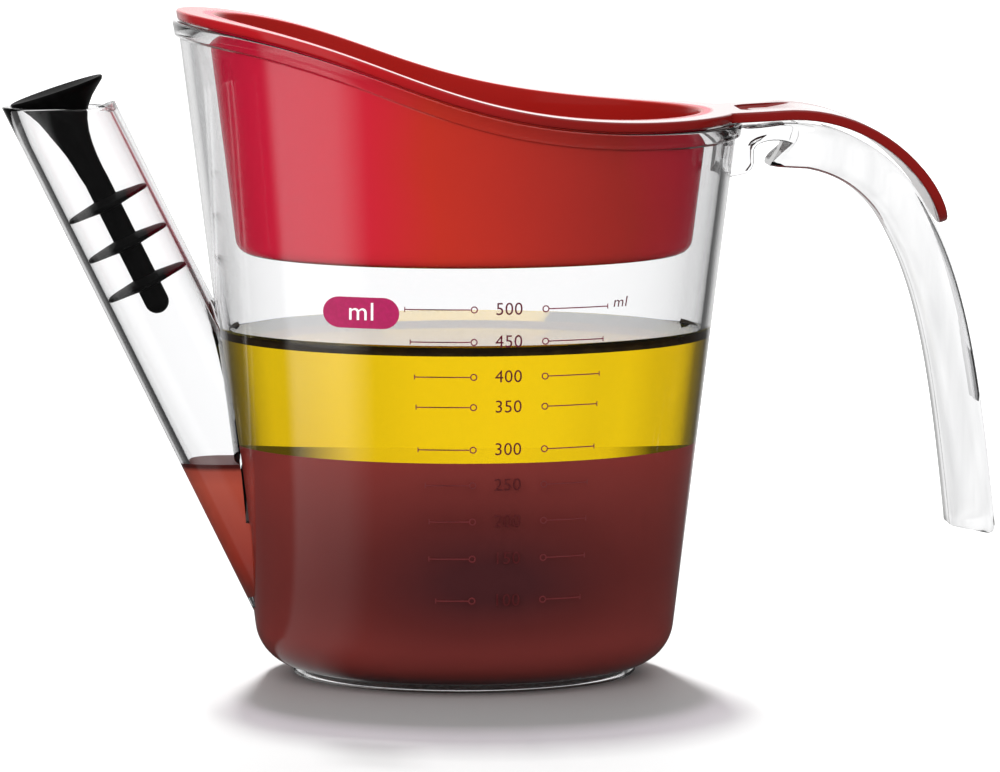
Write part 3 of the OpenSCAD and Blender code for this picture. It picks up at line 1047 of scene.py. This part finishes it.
def red_plastic(obj):
    """Red with painted light: a crimson sheen painted at the left and right, brick in the middle, and
    painted shade on the right, on the basket's inner wall and on the flange, which is glossier.
    """
    tree = material("red_gloss_plastic", obj)
    at = places(tree)
    x, y, z = axes(tree, at)
    cloud = noise(tree, at, 0.03) * 0.12 - 0.06
    across = x * (1 / ACROSS) + 0.5 + cloud
    # painted light: a crimson sheen at the left and right edges, and painted shade to the right of the
    # middle
    cup = ramp(tree, across, (0.08, (0.80, 0.010, 0.062)), (0.30, (0.74, 0.021, 0.044)),
               (0.42, (0.63, 0.036, 0.020)), (0.75, (0.38, 0.026, 0.021)), (0.92, (0.48, 0.010, 0.042)))
    # painted shade: the flange and the tail darker than the basket, and darker from left to right
    rim = ramp(tree, across, (0.1, (0.42, 0.009, 0.014)), (0.3, (0.36, 0.009, 0.012)),
               (0.6, (0.19, 0.009, 0.008)), (0.9, (0.17, 0.007, 0.006)))
    out = x.maths("SQRT", x * x + y * y) - z * JUG_DRAFT - (BASKET_R + 0.2)
    # painted shade on the basket's inner wall
    within = ramp(tree, out + 2.0, (0.6, 1.0), (1.0, 0.0))
    on_rim = ramp(tree, out, (0.0, 0.0), (0.9, 1.0))
    colour = blend(tree, on_rim, blend(tree, within, cup, (0.34, 0.014, 0.011)), rim)
    grain = noise(tree, at, 1.6)
    gloss = on_rim * ramp(tree, across, (0.1, 0.3), (0.5, 0.8)) + 0.12
    finish_with(tree, principled(tree, colour, Roughness=grain * 0.06 + 0.2, IOR=1.5,
                                 Specular_IOR_Level=0.02, Coat_Weight=gloss, Coat_Roughness=0.03,
                                 Normal=bumps(tree, grain, 0.05, 0.0002)))


def black_rubber(obj):
    tree = material("black_soft_rubber", obj)
    at = places(tree)
    grain = noise(tree, at, 2.5, 3.0)
    dust = noise(tree, at, 0.5, 4.0, 0.7)
    colour = ramp(tree, dust, (0.35, 0.002), (0.75, 0.0035))
    finish_with(tree, principled(tree, colour, Roughness=grain * 0.15 + 0.4, Specular_IOR_Level=0.02,
                                 Normal=bumps(tree, grain, 0.05, 0.0001)))


def print_ink(obj, name, thin, full):
    """Ink in thin and full patches, and of another colour where the gravy lies behind it."""
    tree = material(name, obj)
    at = places(tree)
    patch = noise(tree, at, 1.2, 3.0)
    over_fat = ramp(tree, axes(tree, at)[2] * (1 / UP), (0.46, 0.0), (0.48, 1.0))
    colour = blend(tree, over_fat, INK_OVER_GRAVY, ramp(tree, patch, (0.3, thin), (0.6, full)))
    finish_with(tree, principled(tree, colour, Roughness=patch * 0.1 + 0.4))


clear_plastic(jug)
red_plastic(lid)
black_rubber(stopper)
print_ink(scale, "maroon_ink", (0.19, 0.010, 0.040), (0.15, 0.008, 0.030))
print_ink(badge, "magenta_ink", (0.40, 0.004, 0.09), (0.34, 0.004, 0.075))
print_ink(word, "white_ink", (0.85, 0.85, 0.85), (0.9, 0.9, 0.9))


# ---- What the jug holds in the photograph, as props ----

FAT_TOP = 70.3
GRAVY_TOP = 48.0
WETTING = 0.06
RISE = 1.6
RISE_WIDTH = 0.9
LIQUID_SIDES = 160
EDGE_BACK = 12
SPOUT_GRAVY_TOP = 44
SPOUT_GRAVY_SPAN = (108, 50)
# the gravy's painted shade: its middle (x, z), and its reach sideways, up and down
GRAVY_SHADE_MIDDLE = (3.0, 23.0)
GRAVY_SHADE_REACH = (44, 23, 17)


def prop(obj, name, paint):
    obj.name = name
    smooth(obj, 40)
    paint(material(name, obj))
    return obj


def inner_r(z):
    """Radius of a liquid that wets the jug's wall at a height: it reaches just into the plastic."""
    return jug_r(z) - WALL_ACROSS + WETTING


def gravy_body():
    low, r = FOOT_H + JUG_FLOOR - WETTING, JUG_CORNER_R - JUG_WALL
    corner = arc((inner_r(low + r) - r * WALL_STRETCH, low + r), r, -90, -WALL_LEAN, 12)
    section = [(0, low)] + corner + [(inner_r(GRAVY_TOP), GRAVY_TOP), (0, GRAVY_TOP)]
    return turned("gravy", section, LIQUID_SIDES)


def fat_body():
    low = GRAVY_TOP + 0.02
    section = [(0, low), (inner_r(low), low)]
    for away in (0, 0.15, 0.35, 0.6, 0.9, 1.3, 1.9, 2.8, 4.0):
        z = FAT_TOP + RISE * math.exp(-away / RISE_WIDTH)
        section.append((inner_r(z) - away, z))
    section.append((0, FAT_TOP))
    fat = turned("fat", section, LIQUID_SIDES)
    for v in fat.data.vertices:
        if v.co.z > (FAT_TOP + 0.001) * MM:
            v.co.z -= (v.co.z - FAT_TOP * MM) * smoothstep(-0.2, 0.5, v.co.y / v.co.xy.length)
    return fat


def meniscus_shade_band():
    """A painted dark line of shade: a dark band where the fat's raised edge looks dark along the front of
    the jug.
    """
    low, top = FAT_TOP - 0.55, FAT_TOP + 1.0
    section = [(inner_r(low), low), (inner_r(top), top), (inner_r(top) - 0.3, top + 0.1),
               (inner_r(low) - 0.8, low + 0.2)]
    edit(turned("edge", section, LIQUID_SIDES, close=True))
    bpy.ops.mesh.bisect(plane_co=(0, EDGE_BACK * MM, 0), plane_no=(0, 1, 0), use_fill=True, clear_outer=True)
    return done()


def beside(tree, paths):
    """1 where a liquid would be seen through the handle or astray in the plastic's mirror images."""
    passed = paths.named("Transmission Depth")
    facing = 1.0 - node(tree, "NewGeometry", {}).named("Backfacing")
    through_handle = passed.maths("COMPARE", passed, 3.0, 0.4) * facing
    far = passed.maths("GREATER_THAN", passed, 4.5)
    astray = over(paths, "Glossy Depth") * facing.maths("MAXIMUM", facing, far)
    return passed.maths("MAXIMUM", through_handle, astray)


def hide_beside(tree, paths, shader):
    finish_with(tree, mixed(tree, beside(tree, paths), shader, see_through(tree, (1.0, 1.0, 1.0))))


def dull_liquid(tree, colour, **sockets):
    paint = principled(tree, colour, Specular_IOR_Level=0.05, **sockets)
    hide_beside(tree, light_paths(tree), paint)


# painted shade: a near-black band with a little random tone
def meniscus_shade_paint(tree):
    shade = noise(tree, places(tree), 0.3)
    dull_liquid(tree, ramp(tree, shade, (0.3, (0.014, 0.008, 0.003)), (0.7, (0.03, 0.018, 0.004))),
                Roughness=0.5)


def fat_paint(tree):
    cloud = noise(tree, places(tree), 0.02)
    colour = ramp(tree, cloud, (0.3, (0.94, 0.60, 0.004)), (0.7, (0.95, 0.66, 0.005)))
    liquid = principled(tree, colour, Roughness=0.0, IOR=1.46, Transmission_Weight=1.0)
    paths = light_paths(tree)
    shadow = paths.named("Is Shadow Ray")
    hide_beside(tree, paths, mixed(tree, shadow, liquid, see_through(tree, (0.62, 0.58, 0.62))))


def gravy_paint(tree):
    """Painted shade: darkest in the middle of the jug's lower half, and painted lighter and redder towards
    its sides.
    """
    at = places(tree)
    x, _, z = axes(tree, at)
    sideways, upwards, downwards = GRAVY_SHADE_REACH
    x, z = (x - GRAVY_SHADE_MIDDLE[0]) * (1 / sideways), z - GRAVY_SHADE_MIDDLE[1]
    z = z.maths("MAXIMUM", z * (1 / upwards), z * (-1 / downwards))
    aside = (x.maths("SQRT", x * x + z * z) + noise(tree, at, 0.03) * 0.2 - 0.1) * 0.75
    dull_liquid(tree, ramp(tree, aside, (0.15, (0.072, 0.017, 0.019)), (0.45, (0.135, 0.023, 0.021)),
                           (0.75, (0.22, 0.036, 0.031)), (0.98, (0.28, 0.040, 0.034))),
                Roughness=0.35, IOR=1.35)


def thin_gravy_paint(tree):
    """Painted light and shade: lighter in the narrow tube, darker lower down, and a painted dark line of
    shade at its surface.
    """
    at = places(tree)
    height = axes(tree, at)[2] * (1 / SPOUT_GRAVY_TOP) + noise(tree, at, 0.05) * 0.04 - 0.02
    dull_liquid(tree, ramp(tree, height, (0.3, (0.10, 0.018, 0.015)), (0.55, (0.33, 0.035, 0.020)),
                           (0.9, (0.48, 0.085, 0.052)), (0.965, (0.40, 0.07, 0.045)),
                           (0.985, (0.06, 0.010, 0.008))), Roughness=0.35, IOR=1.35)


def spout_gravy():
    tube = spout_filling("in_spout", BORE_R + WETTING, *SPOUT_GRAVY_SPAN, 64, SPOUT_GRAVY_TOP)
    combine(tube, wall_cone(WALL_ACROSS + 0.5), "DIFFERENCE")
    above_port = wall_cone(-0.02)
    cut_level(above_port, PORT_TOP_Z - 0.1, clear_inner=True)
    return combine(tube, above_port, "DIFFERENCE")


prop(gravy_body(), "gravy_in_jug", gravy_paint)
prop(fat_body(), "fat_in_jug", fat_paint)
spout_prop = prop(spout_gravy(), "gravy_in_spout", thin_gravy_paint)
prop(meniscus_shade_band(), "meniscus_shade_band", meniscus_shade_paint)


# ---- Floor, light and camera ----

AMBIENT = 0.26
FLOOR_R = 6
CAMERA_LENS = 260
CAMERA_AWAY = 1480
CAMERA_Z = 208
CAMERA_AZIMUTH = math.radians(-4)
CAMERA_AIM = (7.4, 0, 58.8)


def both_sides(*stops):
    """The same stops to the left and to the right, from straight behind round to straight behind."""
    return tuple((-azimuth, value) for azimuth, value in reversed(stops)) + stops


# What mirrors and lenses see round the studio, by the azimuth from the front: a softbox on the left,
# dark elsewhere, and the backdrop behind. The backdrop is brighter above the floor.
IN_GLASS = both_sides((98, 0.05), (145, 0.12), (158, 1.0), (180, 1.15))
FLOOR_MIRRORED = ((-180, 0.95), (-171, 0.78), (-163, 0.92), (-154, 0.7), (-145, 0.12), (-120, 0.05),
                  (-98, 0.04), (30, 0.06), (98, 0.04), (120, 0.05), (147, 0.12), (156, 0.7), (163, 0.92),
                  (171, 0.78), (180, 0.95))
SOFTBOX = ((-92, 0.0), (-87, 1.0), (-58, 1.0), (-44, 0.0))
SKY_MIRRORED = ((-180, 1.3), (-158, 1.2), (-145, 0.2), (-98, 0.1), (-94, 1.0), (-42, 1.0), (-36, 0.12),
                (30, 0.08), (60, 0.1), (128, 0.15), (145, 0.2), (158, 1.2), (180, 1.3))
THROUGH = both_sides((60, 0.5), (90, 0.06), (112, 0.12), (124, 0.3), (130, 0.75), (137, 0.98), (146, 0.96),
                     (156, 1.12), (163, 1.06), (170, 1.17), (180, 1.2))


def round_studio(tree, x, y, stops):
    """Brightness of the studio in a direction or at a place on the floor."""
    turn = x.maths("ARCTAN2", x, 0.0 - y) * (1 / math.tau) + 0.5
    return ramp(tree, turn, *((degrees / 360 + 0.5, value / 2) for degrees, value in stops)) * 2.0


def floor():
    """A pale floor that keeps the shadow, and shows the studio in mirrored and in refracted light."""
    start_clear()
    bpy.ops.mesh.primitive_circle_add(vertices=96, radius=FLOOR_R, fill_type="NGON", location=(0, 0, 0))
    obj = bpy.context.object
    obj.name = "floor"
    tree = material("pale_floor", obj)
    at = places(tree)
    x, y, _ = axes(tree, at)
    paths = light_paths(tree)
    matt = principled(tree, ramp(tree, noise(tree, at, 0.01, 3.0), (0, 0.8), (1, 0.86)), Roughness=0.6)
    away = x.maths("SQRT", x * x + y * y) * MM
    far_off = glow(tree, ramp(tree, away, (0.2, 0.02), (0.5, 0.8)) * paths.named("Is Camera Ray"))
    lit = node(tree, "AddShader", {}, matt, far_off)[0]
    softbox = round_studio(tree, x, y, SOFTBOX) * ramp(tree, away, (0.1, 0.35), (0.26, 1.1))
    mirrored = glow(tree, round_studio(tree, x, y, FLOOR_MIRRORED) + softbox)
    through = glow(tree, round_studio(tree, x, y, THROUGH))
    # the clear plastic shows the floor's own light and shade near the foot, and the studio's from there on
    lens = over(paths, "Transmission Depth") * ramp(tree, away, (0.1, 0.0), (0.2, 1.0)) \
        * (1.0 - over(paths, "Diffuse Depth"))
    seen = mixed(tree, lens, lit, through)
    finish_with(tree, mixed(tree, over(paths, "Glossy Depth"), seen, mirrored))
    return obj


def studio():
    """White to the camera, an even light on matt surfaces, and the studio to mirrors and lenses."""
    world = bpy.data.worlds.new("studio")
    bpy.context.scene.world = world
    world.use_nodes = True
    world.cycles.sampling_method = "NONE"
    tree = world.node_tree
    tree.nodes.clear()
    x, y, z = axes(tree, node(tree, "TexCoord", {})[0])
    paths = light_paths(tree)
    white = (1.0, 1.0, 1.0)
    high = ramp(tree, z, (0.45, 0.0), (0.7, 1.0))
    mirrored = blend(tree, over(paths, "Transmission Depth"), round_studio(tree, x, y, SKY_MIRRORED),
                     round_studio(tree, x, y, IN_GLASS))
    sides = blend(tree, over(paths, "Glossy Depth"), round_studio(tree, x, y, THROUGH), mirrored)
    sharp = blend(tree, high, sides, white)
    soft = blend(tree, high, (AMBIENT,) * 3, (2 * AMBIENT,) * 3)
    lighting = blend(tree, over(paths, "Diffuse Depth"), sharp, soft)
    colour = blend(tree, paths.named("Is Camera Ray"), lighting, white)
    node(tree, "OutputWorld", {}, Surface=node(tree, "Background", {}, colour, 1.0)[0])


def group_without(name, objs):
    """A light group that leaves some objects out."""
    group = bpy.data.collections.new(name)
    for i, obj in enumerate(objs):
        group.objects.link(obj)
        group.collection_objects[i].light_linking.link_state = "EXCLUDE"
    return group


def aimed(name, data, place, aim):
    """Puts a lamp or the camera at a place and turns it towards another."""
    obj = bpy.data.objects.new(name, data)
    bpy.context.collection.objects.link(obj)
    obj.location = Vector(place) * MM
    obj.rotation_euler = (Vector(aim) * MM - obj.location).to_track_quat("-Z", "Y").to_euler()
    return obj


def lamp(name, place, size, energy, aim=(0, 0, 70), spared=(), let_by=()):
    """An area lamp that shows in no mirror image. What it spares isn't lit, and what lets it by casts no
    shadow."""
    data = bpy.data.lights.new(name, "AREA")
    data.shape = "RECTANGLE"
    data.size, data.size_y = size
    data.energy = energy
    obj = aimed(name, data, place, aim)
    obj.visible_glossy = obj.visible_transmission = False
    if spared:
        obj.light_linking.receiver_collection = group_without(name + "_lights", spared)
    if let_by:
        obj.light_linking.blocker_collection = group_without(name + "_is_blocked_by", let_by)


def camera():
    data = bpy.data.cameras.new("camera")
    data.lens = CAMERA_LENS
    data.clip_start = 0.05
    place = (CAMERA_AWAY * math.sin(CAMERA_AZIMUTH), -CAMERA_AWAY * math.cos(CAMERA_AZIMUTH), CAMERA_Z)
    bpy.context.scene.camera = aimed("camera", data, place, CAMERA_AIM)


ground = floor()
studio()
lamp("left_box", (-1100, -420, 500), (0.7, 0.9), 4, spared=[ground])
lamp("right_box", (1100, -420, 500), (0.7, 0.9), 4, spared=[ground])
lamp("back_top_box", (0, 880, 1120), (0.12, 0.3), 27, let_by=[lid, stopper, spout_prop])
lamp("front_fill", (-250, -1500, 620), (1.4, 1.0), 14, spared=[ground])
lamp("low_fill", (120, -1400, 60), (0.9, 0.3), 6, aim=(0, 0, 30), spared=[ground])
camera()
bpy.context.scene.view_settings.view_transform = "Standard"
